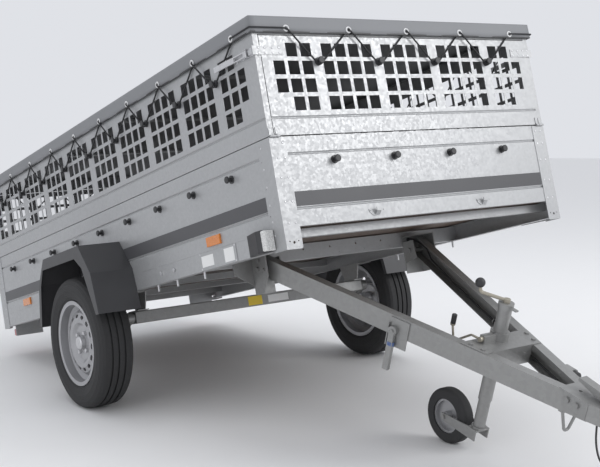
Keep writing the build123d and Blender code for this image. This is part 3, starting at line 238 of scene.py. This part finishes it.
sheet_zinc = galvanised("sheet_zinc", (0.46, 0.465, 0.47), (0.41, 0.415, 0.42), 110, 0.5)
section_zinc = galvanised("section_zinc", (0.34, 0.34, 0.335), (0.29, 0.29, 0.285), 80, 0.6)
bright_zinc = galvanised("bright_zinc", (0.72, 0.72, 0.73), (0.55, 0.55, 0.56), 140, 0.9)
dress(sheet_zinc, "front_wall", "side_wall_left", "side_wall_right", "corner_posts",
      "side_rails", "cross_members", "side_mesh_left", "side_mesh_right", "tarp_bows",
      "tailgate", "front_gate", "rear_gate")
dress(section_zinc, "drawbar_brackets", "axle_beam", "drawbar_beam_left",
      "drawbar_beam_right", "drawbar_cross_plate", "swing_arm_left", "swing_arm_right",
      "coupling_body", "coupling_handle", "tilt_latch_bracket", "tilt_latch_lever",
      "rod_loop", "jockey_tube", "jockey_inner_tube", "jockey_fork")
dress(bright_zinc, "latch_lever_front_left", "latch_lever_front_right",
      "latch_lever_rear_left", "latch_lever_rear_right", "hub_left", "hub_right",
      "gate_latch_bases", "frame_bolts")

# ---- Floor board, mouldings and lamps ----
# Film-faced plywood floor; black moulded guards and hook bobbins; amber side reflectors,
# red rear lamps and white front lamps.
dress(grained("plywood_film", (0.10, 0.065, 0.045), 0.5, 90, 0.0004), "floor_panel")
dress(black_plastic, "wall_bobbins", "front_gate_bobbins", "rear_gate_bobbins")
guard_plastic = grained("guard_moulding", (0.05, 0.05, 0.053), 0.42, 700, 0.0003)
dress(guard_plastic, "mudguard_left", "mudguard_right")


def lens(name, colour, ribs):
    """A ribbed prismatic lens, clear coated."""
    material = bpy.data.materials.new(name)
    material.use_nodes = True
    nodes, links = material.node_tree.nodes, material.node_tree.links
    shader = nodes["Principled BSDF"]
    shader.inputs["Roughness"].default_value = 0.18
    shader.inputs["Coat Weight"].default_value = 0.6
    place = nodes.new("ShaderNodeTexCoord")
    prism = nodes.new("ShaderNodeTexVoronoi")
    prism.inputs["Scale"].default_value = ribs
    tint = nodes.new("ShaderNodeMix")
    tint.data_type = "RGBA"
    tint.inputs["A"].default_value = (*colour, 1)
    tint.inputs["B"].default_value = (*[c * 0.6 for c in colour], 1)
    lift = nodes.new("ShaderNodeBump")
    lift.inputs["Strength"].default_value = 0.5
    lift.inputs["Distance"].default_value = 0.001
    links.new(place.outputs["Object"], prism.inputs["Vector"])
    links.new(prism.outputs["Distance"], tint.inputs["Factor"])
    links.new(tint.outputs["Result"], shader.inputs["Base Color"])
    links.new(prism.outputs["Distance"], lift.inputs["Height"])
    links.new(lift.outputs["Normal"], shader.inputs["Normal"])
    return material


amber = lens("amber_lens", (0.85, 0.26, 0.03), 300)
dress(amber, "side_reflectors")
dress(lens("red_lens", (0.5, 0.02, 0.02), 200), "rear_lamps")
dress(lens("white_lens", (0.8, 0.8, 0.78), 200), "front_lamps")

# ---- Wheels ----
# Pressed rims in silver paint with a fine orange peel, and the small jockey wheel with a
# solid tyre. The road tyres' lugs and side rings lift the finish only, not the mesh.
rim_paint = grained("rim_silver", (0.40, 0.40, 0.41), 0.35, 500, 0.0002, 0.04, 0.6)
dress(rim_paint, "rim_left", "rim_right", "jockey_rim")
tyre_rubber = grained("tyre_rubber", (0.028, 0.028, 0.029), 0.72, 220, 0.0006, 0.2)
dress(tyre_rubber, "jockey_tyre")
tread = grained("tyre_tread", (0.028, 0.028, 0.029), 0.72, 220, 0.0006, 0.2)
nodes, links = tread.node_tree.nodes, tread.node_tree.links
road_wheel = next(j for j in frame["joints"] if j["name"] == "wheel_spin_left")
axle_y, axle_z = road_wheel["pos_m"][1:]
lug_count = 64.0
lug_slant = 130.0
tread_from = 0.262
side_ring_waves = 900.0


def tread_step(kind, first, second):
    """One sum in the tread pattern; either side may be a socket or a number."""
    step = nodes.new("ShaderNodeMath")
    step.operation = kind
    for socket, value in zip(step.inputs, (first, second)):
        if isinstance(value, (int, float)):
            socket.default_value = value
        else:
            links.new(value, socket)
    return step.outputs[0]


place = nodes.new("ShaderNodeTexCoord")
split = nodes.new("ShaderNodeSeparateXYZ")
links.new(place.outputs["Object"], split.inputs[0])
across = tread_step("SUBTRACT", split.outputs["Y"], axle_y)
above = tread_step("SUBTRACT", split.outputs["Z"], axle_z)
turn = tread_step("ARCTAN2", above, across)
slant = tread_step("MULTIPLY", tread_step("ABSOLUTE", split.outputs["X"], 0.0), lug_slant)
wave = tread_step("SINE", tread_step("ADD", tread_step("MULTIPLY", turn, lug_count), slant), 0.0)
block = tread_step("GREATER_THAN", wave, -0.55)
radius = tread_step("SQRT", tread_step("ADD", tread_step("MULTIPLY", across, across),
                                       tread_step("MULTIPLY", above, above)), 0.0)
on_tread = tread_step("GREATER_THAN", radius, tread_from)
ripple = tread_step("SINE", tread_step("MULTIPLY", radius, side_ring_waves), 0.0)
ring = tread_step("MULTIPLY", ripple, 0.18)
off_tread = tread_step("SUBTRACT", 1.0, on_tread)
height = tread_step("ADD", tread_step("MULTIPLY", block, on_tread),
                    tread_step("MULTIPLY", ring, off_tread))
cut = nodes.new("ShaderNodeBump")
cut.inputs["Strength"].default_value = 0.9
cut.inputs["Distance"].default_value = 0.003
links.new(height, cut.inputs["Height"])
links.new(nodes["Bump"].outputs["Normal"], cut.inputs["Normal"])
links.new(cut.outputs["Normal"], nodes["Principled BSDF"].inputs["Normal"])
dress(tread, "tyre_left", "tyre_right")
yellow_zinc = galvanised("yellow_zinc", (0.46, 0.43, 0.36), (0.34, 0.31, 0.25), 60, 0.7)
dress(yellow_zinc, "jockey_crank", "clamp_lever")
dress(grained("elastic_braid", (0.02, 0.02, 0.022), 0.7, 900, 0.0006), "elastic_sides",
      "elastic_front", "elastic_rear")

# ---- Tarpaulin ----
# Grey coated cloth laid over the bars and pulled down by the elastic; its skirt hangs
# over the panels and is drawn in at every eyelet.
sheet_half = 0.6535
sheet_front, sheet_rear = -0.0085, box_length + 0.0085
first_side_eyelet, side_eyelet_pitch = 0.1135, 0.2745
first_front_eyelet, front_eyelet_pitch = -0.5106, 0.2631
bar_top = 0.7755
pucker = 0.0015
cloth = grained("tarp_cloth", (0.24, 0.245, 0.255), 0.6, 320, 0.0004, 0.06)
tarp_mesh = bpy.data.meshes.new("tarp_cloth")
builder = bmesh.new()
bmesh.ops.create_grid(builder, x_segments=48, y_segments=100, size=1)
bmesh.ops.scale(builder, vec=(sheet_half, (sheet_rear - sheet_front) / 2, 1),
                verts=builder.verts)
bmesh.ops.translate(builder, vec=(0, (sheet_front + sheet_rear) / 2, bar_top),
                    verts=builder.verts)
edge = [e for e in builder.edges if e.is_boundary]
for drop in (0.006, 0.012, 0.018, 0.0185):
    grown = bmesh.ops.extrude_edge_only(builder, edges=edge)["geom"]
    hanging = [g for g in grown if isinstance(g, bmesh.types.BMVert)]
    edge = [g for g in grown if isinstance(g, bmesh.types.BMEdge) and g.is_boundary]
    bmesh.ops.translate(builder, vec=(0, 0, -drop), verts=hanging)
bars = (0.0, 0.68, 1.365, 2.05, box_length)
for vert in builder.verts:
    x, y, z = vert.co
    if z > 0.775:
        gap = next(((a, b) for a, b in zip(bars, bars[1:]) if a <= y <= b), None)
        if gap:
            share = (y - gap[0]) / (gap[1] - gap[0])
            across = max(0.0, 1 - (abs(x) / sheet_half) ** 4)
            vert.co.z -= 0.007 * sin(pi * share) ** 2 * across
    else:
        depth = (bar_top - z) / 0.0545
        if abs(x) > sheet_half - 0.001:
            turn = 2 * pi * (y - first_side_eyelet) / side_eyelet_pitch + pi
            vert.co.x += pucker * depth * cos(turn) * x / abs(x)
        else:
            side = -1 if y < 1 else 1
            turn = 2 * pi * (x - first_front_eyelet) / front_eyelet_pitch + pi
            vert.co.y += pucker * depth * cos(turn) * side
bmesh.ops.recalc_face_normals(builder, faces=builder.faces)
bmesh.ops.transform(builder, matrix=box_frame, verts=builder.verts)
builder.to_mesh(tarp_mesh)
builder.free()
tarp_mesh.materials.append(cloth)
tarp_mesh.shade_smooth()
tarp = bpy.data.objects.new("tarp_cloth", tarp_mesh)
bpy.context.scene.collection.objects.link(tarp)
thickness = tarp.modifiers.new("thickness", "SOLIDIFY")
thickness.thickness = 0.0012
thickness.offset = 0
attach(tarp, "chassis")
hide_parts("tarp")


# ---- Hem and eyelets ----
# A black binding along the foot of the skirt, and white-ringed metal eyelets where the
# elastic passes through.
def piece(name, builder, material, body):
    """Turns a finished bmesh into a piece that rides on a body."""
    mesh = bpy.data.meshes.new(name)
    bmesh.ops.recalc_face_normals(builder, faces=builder.faces)
    builder.to_mesh(mesh)
    builder.free()
    mesh.materials.append(material)
    made = bpy.data.objects.new(name, mesh)
    bpy.context.scene.collection.objects.link(made)
    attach(made, body)
    return made


builder = bmesh.new()
bmesh.ops.create_cube(builder, size=1)
bmesh.ops.scale(builder, vec=(2 * sheet_half + 0.003, sheet_rear - sheet_front + 0.003, 0.004),
                verts=builder.verts)
bmesh.ops.delete(builder, geom=[f for f in builder.faces if abs(f.normal.z) > 0.5],
                 context="FACES_ONLY")
bmesh.ops.solidify(builder, geom=builder.faces[:], thickness=0.0035)
bmesh.ops.translate(builder, vec=(0, box_length / 2, 0.7225), verts=builder.verts)
bmesh.ops.transform(builder, matrix=box_frame, verts=builder.verts)
hem = piece("tarp_hem", builder, black_plastic, "chassis")

side_eyelets = [first_side_eyelet + side_eyelet_pitch * i for i in range(10)]
front_eyelets = [first_front_eyelet + front_eyelet_pitch * i for i in range(5)]
eyelet_white = grained("eyelet_white", (0.78, 0.78, 0.78), 0.35, 500, 0.0001, 0.03)


def lay_rings(builder, places, radius, wire):
    """Adds a turned ring at each matrix."""
    for place in places:
        made = bmesh.ops.create_circle(builder, segments=8, radius=wire)["verts"]
        bmesh.ops.translate(builder, vec=(radius, 0, 0), verts=made)
        bmesh.ops.rotate(builder, cent=(radius, 0, 0), verts=made,
                         matrix=Matrix.Rotation(pi / 2, 3, "X"))
        edges = list({e for v in made for e in v.link_edges})
        turned = bmesh.ops.spin(builder, geom=made + edges, cent=(0, 0, 0), axis=(0, 0, 1),
                                angle=2 * pi, steps=20, use_merge=True)
        ring = {v for e in edges for v in e.verts}
        stack = list(ring)
        while stack:
            for e in stack.pop().link_edges:
                for v in e.verts:
                    if v not in ring:
                        ring.add(v)
                        stack.append(v)
        bmesh.ops.transform(builder, matrix=place, verts=list(ring))


eyelet_places = []
for y in side_eyelets:
    for side in (-1, 1):
        eyelet_places.append(box_frame @ Matrix.Translation((side * 0.6545, y, 0.735))
                             @ Matrix.Rotation(pi / 2, 4, "Y"))
for x in front_eyelets:
    for y in (-0.0095, box_length + 0.0095):
        eyelet_places.append(box_frame @ Matrix.Translation((x, y, 0.735))
                             @ Matrix.Rotation(pi / 2, 4, "X"))
builder = bmesh.new()
lay_rings(builder, eyelet_places, 0.0095, 0.0028)
eyelets = piece("tarp_eyelets", builder, eyelet_white, "chassis")

# ---- Decor stripes and labels ----
# Dark vinyl stripes along the lower walls without any lettering, and blank type labels on
# the rail plates and the axle beam, one of them yellow.
vinyl = grained("stripe_vinyl", (0.075, 0.075, 0.08), 0.4, 300, 0.0001, 0.05)
blank_label = grained("blank_label", (0.8, 0.8, 0.79), 0.4, 300, 0.0001, 0.02)


def patch(builder, low, high, bevel):
    """A thin rounded slab between two corners."""
    made = bmesh.ops.create_cube(builder, size=1)["verts"]
    low, high = Vector(low), Vector(high)
    bmesh.ops.scale(builder, vec=high - low, verts=made)
    bmesh.ops.translate(builder, vec=(low + high) / 2, verts=made)
    edges = list({e for v in made for e in v.link_edges})
    bmesh.ops.bevel(builder, geom=edges, offset=bevel, affect="EDGES", segments=2,
                    profile=0.5, material=-1)


builder = bmesh.new()
patch(builder, (-0.579, 0.0012, 0.138), (0.579, 0.0019, 0.187), 0.0002)
for side in (-1, 1):
    low_x, high_x = sorted((side * 0.6432, side * 0.6439))
    patch(builder, (low_x, 0.078, 0.138), (high_x, box_length - 0.078, 0.187), 0.0002)
bmesh.ops.transform(builder, matrix=box_frame, verts=builder.verts)
piece("wall_stripes", builder, vinyl, "chassis")

builder = bmesh.new()
for side in (-1, 1):
    low_x, high_x = sorted((side * 0.6450, side * 0.6456))
    patch(builder, (low_x, 0.325, 0.016), (high_x, 0.392, 0.064), 0.0002)
    patch(builder, (low_x, 0.470, 0.020), (high_x, 0.556, 0.060), 0.0002)
patch(builder, (0.06, 1.2543, -0.112), (0.17, 1.2549, -0.080), 0.0002)
bmesh.ops.transform(builder, matrix=box_frame, verts=builder.verts)
piece("type_labels", builder, blank_label, "chassis")

builder = bmesh.new()
patch(builder, (-0.046, 1.2543, -0.116), (0.028, 1.2549, -0.076), 0.0002)
bmesh.ops.transform(builder, matrix=box_frame, verts=builder.verts)
piece("axle_label", builder, grained("yellow_label", (0.85, 0.62, 0.05), 0.4, 300, 0.0001, 0.03),
      "chassis")

# ---- Knobs and grips ----
# Black moulded ball on the crank handle, a black grip on the clamp lever, and a blue tie
# wound three times round the arm of the tilt latch.
builder = bmesh.new()
bmesh.ops.create_uvsphere(builder, u_segments=40, v_segments=24, radius=0.0172)
bmesh.ops.translate(builder, vec=(-0.071, -0.779, 0.236), verts=builder.verts)
bmesh.ops.transform(builder, matrix=drawbar_frame, verts=builder.verts)
piece("crank_knob", builder, black_plastic, "jockey_crank")

grip_radius = 0.0092
grip_low, grip_high = 0.056, 0.0925
builder = bmesh.new()
bmesh.ops.create_cone(builder, cap_ends=True, segments=32, radius1=grip_radius,
                      radius2=grip_radius, depth=grip_high - grip_low)
bmesh.ops.translate(builder, vec=(-0.087, -0.711, (grip_low + grip_high) / 2),
                    verts=builder.verts)
rims = [e for e in builder.edges if abs(e.verts[0].co.z - e.verts[1].co.z) < 1e-6]
bmesh.ops.bevel(builder, geom=rims, offset=0.003, affect="EDGES", segments=4,
                profile=0.5, material=-1)
bmesh.ops.transform(builder, matrix=drawbar_frame, verts=builder.verts)
piece("clamp_grip", builder, black_plastic, "clamp_lever")

builder = bmesh.new()
for height in (-0.046, -0.0505, -0.055):
    ring = bmesh.ops.create_cone(builder, cap_ends=False, segments=40, radius1=0.0152,
                                 radius2=0.0152, depth=0.0035)["verts"]
    bmesh.ops.scale(builder, vec=(0.64, 1, 1), verts=ring)
    bmesh.ops.rotate(builder, cent=(0, 0, 0), matrix=Matrix.Rotation(0.286, 3, "Z"), verts=ring)
    bmesh.ops.translate(builder, vec=(-0.2440, -0.5912, height), verts=ring)
bmesh.ops.solidify(builder, geom=builder.faces[:], thickness=0.0012)
bmesh.ops.transform(builder, matrix=drawbar_frame, verts=builder.verts)
piece("latch_tie", builder, grained("tie_blue", (0.10, 0.16, 0.35), 0.4, 400, 0.0002, 0.08),
      "tilt_latch")


# ---- Rivets ----
# Domed blind rivets on the corner posts, the front wall, the rail plates, the front latch
# plates and the front gate's straps.
def lay_rivets(builder, places, radius=0.0042):
    """Adds a domed rivet head at each matrix, its dome along local Z."""
    for place in places:
        made = bmesh.ops.create_uvsphere(builder, u_segments=12, v_segments=8,
                                         radius=radius)["verts"]
        bmesh.ops.scale(builder, vec=(1, 1, 0.45), verts=made)
        bmesh.ops.transform(builder, matrix=place, verts=made)


outward = {"left": Matrix.Rotation(-pi / 2, 4, "Y"), "right": Matrix.Rotation(pi / 2, 4, "Y"),
           "front": Matrix.Rotation(pi / 2, 4, "X"), "rear": Matrix.Rotation(-pi / 2, 4, "X")}
places = []
for side, way in ((-1, "left"), (1, "right")):
    for y in (0.058, box_length - 0.058):
        for z in (0.055, 0.100, 0.155, 0.215, 0.275, 0.345):
            places.append(Matrix.Translation((side * box_half, y, z)) @ outward[way])
    for z in (0.085, 0.155, 0.235, 0.300, 0.350):
        places.append(Matrix.Translation((side * 0.595, 0.0, z)) @ outward["front"])
        places.append(Matrix.Translation((side * 0.622, 0.0, z)) @ outward["front"])
    for y, z in ((0.318, 0.014), (0.562, 0.014), (0.318, 0.068), (0.562, 0.068)):
        places.append(Matrix.Translation((side * box_half, y, z)) @ outward[way])
    for y in (0.072, 0.112):
        for z in (0.652, 0.670):
            places.append(Matrix.Translation((side * 0.6448, y, z)) @ outward[way])
builder = bmesh.new()
lay_rivets(builder, [box_frame @ place for place in places])
piece("frame_rivets", builder, bright_zinc, "chassis")
builder = bmesh.new()
lay_rivets(builder, [box_frame @ Matrix.Translation((side * x, -0.0023, z)) @ outward["front"]
                     for side in (-1, 1) for x in (0.548, 0.575, 0.605, 0.630)
                     for z in (0.652, 0.670)])
piece("strap_rivets", builder, bright_zinc, "front_gate")
